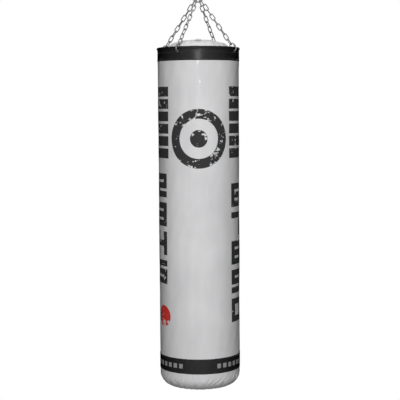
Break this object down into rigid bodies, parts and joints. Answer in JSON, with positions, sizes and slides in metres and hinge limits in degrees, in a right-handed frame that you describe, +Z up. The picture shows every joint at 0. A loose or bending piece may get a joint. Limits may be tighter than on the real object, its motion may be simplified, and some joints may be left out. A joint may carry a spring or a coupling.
{
  "type": "hanging punch bag",
  "caption": "Tall cylindrical punch bag with a domed zipped top, steel-hooped rim, chains, shackle and swivel hanger.",
  "frame": {"origin": "centre of the hanger eye's hole, at the top of the part", "axes": "+Z up along the bag's axis, +Y along the hanger eye's hole, front of the bag towards -Y"},
  "size_m": [0.3662, 0.3662, 1.8667],
  "materials": {
    "hanger_steel": "satin",
    "bearing_steel": "polished",
    "shackle_steel": "satin",
    "chain_steel": "satin",
    "rim_steel": "gloss",
    "hoop_steel": "satin",
    "black_vinyl": "gloss",
    "silver_vinyl": "satin",
    "cover_vinyl": "satin",
    "foam": "matte",
    "textile_filling": "matte",
    "zip_cloth": "matte",
    "zip_metal": "satin"
  },
  "bodies": {
    "hanger": {"hanger_cap": "hanger_steel", "swivel_cup": "hanger_steel", "lower_race": "bearing_steel"},
    "bearing": {"ball_cage": "bearing_steel"},
    "swivel": {"swivel_stem": "hanger_steel", "lock_nut": "bearing_steel", "upper_race": "bearing_steel"},
    "shackle": {"shackle_bow": "shackle_steel", "shackle_pin": "shackle_steel"},
    "bag": {"gather_ring": "shackle_steel", "rim_links": "rim_steel", "rim_link_sleeves": "rim_steel", "rim_hoop": "hoop_steel", "eyelets": "rim_steel", "top_band": "black_vinyl", "shell_wall": "silver_vinyl", "lower_stripe": "black_vinyl", "bottom_panel": "silver_vinyl", "foam_liner": "foam", "filling_core": "textile_filling", "top_cover": "cover_vinyl", "zip_tape": "zip_cloth"},
    "zip_slider": {"zip_slider": "zip_metal"},
    "zip_pull": {"zip_pull": "zip_metal"},
    "link_a1": {"chain_a_link_1": "chain_steel"},
    "link_a2": {"chain_a_link_2": "chain_steel"},
    "link_a3": {"chain_a_link_3": "chain_steel"},
    "link_a4": {"chain_a_link_4": "chain_steel"},
    "link_a5": {"chain_a_link_5": "chain_steel"},
    "link_a6": {"chain_a_link_6": "chain_steel"},
    "link_a7": {"chain_a_link_7": "chain_steel"},
    "link_a8": {"chain_a_link_8": "chain_steel"},
    "link_a9": {"chain_a_link_9": "chain_steel"},
    "link_b1": {"chain_b_link_1": "chain_steel"},
    "link_b2": {"chain_b_link_2": "chain_steel"},
    "link_b3": {"chain_b_link_3": "chain_steel"},
    "link_b4": {"chain_b_link_4": "chain_steel"},
    "link_b5": {"chain_b_link_5": "chain_steel"},
    "link_b6": {"chain_b_link_6": "chain_steel"},
    "link_b7": {"chain_b_link_7": "chain_steel"},
    "link_b8": {"chain_b_link_8": "chain_steel"},
    "link_b9": {"chain_b_link_9": "chain_steel"},
    "link_c1": {"chain_c_link_1": "chain_steel"},
    "link_c2": {"chain_c_link_2": "chain_steel"},
    "link_c3": {"chain_c_link_3": "chain_steel"},
    "link_c4": {"chain_c_link_4": "chain_steel"},
    "link_c5": {"chain_c_link_5": "chain_steel"},
    "link_c6": {"chain_c_link_6": "chain_steel"},
    "link_c7": {"chain_c_link_7": "chain_steel"},
    "link_c8": {"chain_c_link_8": "chain_steel"},
    "link_c9": {"chain_c_link_9": "chain_steel"},
    "link_d1": {"chain_d_link_1": "chain_steel"},
    "link_d2": {"chain_d_link_2": "chain_steel"},
    "link_d3": {"chain_d_link_3": "chain_steel"},
    "link_d4": {"chain_d_link_4": "chain_steel"},
    "link_d5": {"chain_d_link_5": "chain_steel"},
    "link_d6": {"chain_d_link_6": "chain_steel"},
    "link_d7": {"chain_d_link_7": "chain_steel"},
    "link_d8": {"chain_d_link_8": "chain_steel"},
    "link_d9": {"chain_d_link_9": "chain_steel"}
  },
  "joints": [
    {"name": "swivel_turn", "type": "hinge", "parent": "hanger", "child": "swivel", "pos_m": [0, 0, -0.04695], "axis": [0, 0, 1], "continuous": true},
    {"name": "cage_turn", "type": "hinge", "parent": "hanger", "child": "bearing", "pos_m": [0, 0, -0.04695], "axis": [0, 0, 1], "continuous": true},
    {"name": "side_swing", "type": "hinge", "parent": "swivel", "child": "shackle", "pos_m": [0, 0, -0.082], "axis": [0, 1, 0], "range_deg": [-45, 45]},
    {"name": "front_swing", "type": "hinge", "parent": "shackle", "child": "bag", "pos_m": [0, 0, -0.1031], "axis": [1, 0, 0], "range_deg": [-45, 45]},
    {"name": "twist_a1", "type": "hinge", "parent": "bag", "child": "link_a1", "pos_m": [-0.01086, -0.00574, -0.1554], "axis": [-0.2979, -0.5712, -0.7649], "range_deg": [-6, 6]},
    {"name": "twist_a2", "type": "hinge", "parent": "bag", "child": "link_a2", "pos_m": [-0.01926, -0.02185, -0.17697], "axis": [-0.2979, -0.5712, -0.7649], "range_deg": [-6, 6]},
    {"name": "twist_a3", "type": "hinge", "parent": "bag", "child": "link_a3", "pos_m": [-0.02766, -0.03795, -0.19854], "axis": [-0.2979, -0.5712, -0.7649], "range_deg": [-6, 6]},
    {"name": "twist_a4", "type": "hinge", "parent": "bag", "child": "link_a4", "pos_m": [-0.03607, -0.05406, -0.22011], "axis": [-0.2979, -0.5712, -0.7649], "range_deg": [-6, 6]},
    {"name": "twist_a5", "type": "hinge", "parent": "bag", "child": "link_a5", "pos_m": [-0.04447, -0.07017, -0.24168], "axis": [-0.2979, -0.5712, -0.7649], "range_deg": [-6, 6]},
    {"name": "twist_a6", "type": "hinge", "parent": "bag", "child": "link_a6", "pos_m": [-0.05287, -0.08627, -0.26325], "axis": [-0.2979, -0.5712, -0.7649], "range_deg": [-6, 6]},
    {"name": "twist_a7", "type": "hinge", "parent": "bag", "child": "link_a7", "pos_m": [-0.06127, -0.10238, -0.28481], "axis": [-0.2979, -0.5712, -0.7649], "range_deg": [-6, 6]},
    {"name": "twist_a8", "type": "hinge", "parent": "bag", "child": "link_a8", "pos_m": [-0.06967, -0.11849, -0.30638], "axis": [-0.2979, -0.5712, -0.7649], "range_deg": [-6, 6]},
    {"name": "twist_a9", "type": "hinge", "parent": "bag", "child": "link_a9", "pos_m": [-0.07807, -0.13459, -0.32795], "axis": [-0.2979, -0.5712, -0.7649], "range_deg": [-6, 6]},
    {"name": "twist_b1", "type": "hinge", "parent": "bag", "child": "link_b1", "pos_m": [0.01949, -0.00326, -0.15174], "axis": [0.5181, -0.3331, -0.7878], "range_deg": [-6, 6]},
    {"name": "twist_b2", "type": "hinge", "parent": "bag", "child": "link_b2", "pos_m": [0.03397, -0.01258, -0.17376], "axis": [0.5181, -0.3331, -0.7878], "range_deg": [-6, 6]},
    {"name": "twist_b3", "type": "hinge", "parent": "bag", "child": "link_b3", "pos_m": [0.04845, -0.02189, -0.19578], "axis": [0.5181, -0.3331, -0.7878], "range_deg": [-6, 6]},
    {"name": "twist_b4", "type": "hinge", "parent": "bag", "child": "link_b4", "pos_m": [0.06293, -0.0312, -0.2178], "axis": [0.5181, -0.3331, -0.7878], "range_deg": [-6, 6]},
    {"name": "twist_b5", "type": "hinge", "parent": "bag", "child": "link_b5", "pos_m": [0.07741, -0.04051, -0.23981], "axis": [0.5181, -0.3331, -0.7878], "range_deg": [-6, 6]},
    {"name": "twist_b6", "type": "hinge", "parent": "bag", "child": "link_b6", "pos_m": [0.09189, -0.04982, -0.26183], "axis": [0.5181, -0.3331, -0.7878], "range_deg": [-6, 6]},
    {"name": "twist_b7", "type": "hinge", "parent": "bag", "child": "link_b7", "pos_m": [0.10638, -0.05913, -0.28385], "axis": [0.5181, -0.3331, -0.7878], "range_deg": [-6, 6]},
    {"name": "twist_b8", "type": "hinge", "parent": "bag", "child": "link_b8", "pos_m": [0.12086, -0.06844, -0.30587], "axis": [0.5181, -0.3331, -0.7878], "range_deg": [-6, 6]},
    {"name": "twist_b9", "type": "hinge", "parent": "bag", "child": "link_b9", "pos_m": [0.13534, -0.07775, -0.32789], "axis": [0.5181, -0.3331, -0.7878], "range_deg": [-6, 6]},
    {"name": "twist_c1", "type": "hinge", "parent": "bag", "child": "link_c1", "pos_m": [0.01086, 0.00574, -0.1554], "axis": [0.2979, 0.5712, -0.7649], "range_deg": [-6, 6]},
    {"name": "twist_c2", "type": "hinge", "parent": "bag", "child": "link_c2", "pos_m": [0.01926, 0.02185, -0.17697], "axis": [0.2979, 0.5712, -0.7649], "range_deg": [-6, 6]},
    {"name": "twist_c3", "type": "hinge", "parent": "bag", "child": "link_c3", "pos_m": [0.02766, 0.03795, -0.19854], "axis": [0.2979, 0.5712, -0.7649], "range_deg": [-6, 6]},
    {"name": "twist_c4", "type": "hinge", "parent": "bag", "child": "link_c4", "pos_m": [0.03607, 0.05406, -0.22011], "axis": [0.2979, 0.5712, -0.7649], "range_deg": [-6, 6]},
    {"name": "twist_c5", "type": "hinge", "parent": "bag", "child": "link_c5", "pos_m": [0.04447, 0.07017, -0.24168], "axis": [0.2979, 0.5712, -0.7649], "range_deg": [-6, 6]},
    {"name": "twist_c6", "type": "hinge", "parent": "bag", "child": "link_c6", "pos_m": [0.05287, 0.08627, -0.26325], "axis": [0.2979, 0.5712, -0.7649], "range_deg": [-6, 6]},
    {"name": "twist_c7", "type": "hinge", "parent": "bag", "child": "link_c7", "pos_m": [0.06127, 0.10238, -0.28481], "axis": [0.2979, 0.5712, -0.7649], "range_deg": [-6, 6]},
    {"name": "twist_c8", "type": "hinge", "parent": "bag", "child": "link_c8", "pos_m": [0.06967, 0.11849, -0.30638], "axis": [0.2979, 0.5712, -0.7649], "range_deg": [-6, 6]},
    {"name": "twist_c9", "type": "hinge", "parent": "bag", "child": "link_c9", "pos_m": [0.07807, 0.13459, -0.32795], "axis": [0.2979, 0.5712, -0.7649], "range_deg": [-6, 6]},
    {"name": "twist_d1", "type": "hinge", "parent": "bag", "child": "link_d1", "pos_m": [-0.01949, 0.00326, -0.15174], "axis": [-0.5181, 0.3331, -0.7878], "range_deg": [-6, 6]},
    {"name": "twist_d2", "type": "hinge", "parent": "bag", "child": "link_d2", "pos_m": [-0.03397, 0.01258, -0.17376], "axis": [-0.5181, 0.3331, -0.7878], "range_deg": [-6, 6]},
    {"name": "twist_d3", "type": "hinge", "parent": "bag", "child": "link_d3", "pos_m": [-0.04845, 0.02189, -0.19578], "axis": [-0.5181, 0.3331, -0.7878], "range_deg": [-6, 6]},
    {"name": "twist_d4", "type": "hinge", "parent": "bag", "child": "link_d4", "pos_m": [-0.06293, 0.0312, -0.2178], "axis": [-0.5181, 0.3331, -0.7878], "range_deg": [-6, 6]},
    {"name": "twist_d5", "type": "hinge", "parent": "bag", "child": "link_d5", "pos_m": [-0.07741, 0.04051, -0.23981], "axis": [-0.5181, 0.3331, -0.7878], "range_deg": [-6, 6]},
    {"name": "twist_d6", "type": "hinge", "parent": "bag", "child": "link_d6", "pos_m": [-0.09189, 0.04982, -0.26183], "axis": [-0.5181, 0.3331, -0.7878], "range_deg": [-6, 6]},
    {"name": "twist_d7", "type": "hinge", "parent": "bag", "child": "link_d7", "pos_m": [-0.10638, 0.05913, -0.28385], "axis": [-0.5181, 0.3331, -0.7878], "range_deg": [-6, 6]},
    {"name": "twist_d8", "type": "hinge", "parent": "bag", "child": "link_d8", "pos_m": [-0.12086, 0.06844, -0.30587], "axis": [-0.5181, 0.3331, -0.7878], "range_deg": [-6, 6]},
    {"name": "twist_d9", "type": "hinge", "parent": "bag", "child": "link_d9", "pos_m": [-0.13534, 0.07775, -0.32789], "axis": [-0.5181, 0.3331, -0.7878], "range_deg": [-6, 6]},
    {"name": "zip_run", "type": "hinge", "parent": "bag", "child": "zip_slider", "pos_m": [0, 0, -0.86866], "axis": [1, 0, 0], "range_deg": [-20.76, 0]},
    {"name": "pull_flip", "type": "hinge", "parent": "zip_slider", "child": "zip_pull", "pos_m": [0, -0.10091, -0.31777], "axis": [1, 0, 0], "range_deg": [0, 150]}
  ],
  "couplings": [
    {"joint": "cage_turn", "follows": "swivel_turn", "ratio": 0.5}
  ]
}
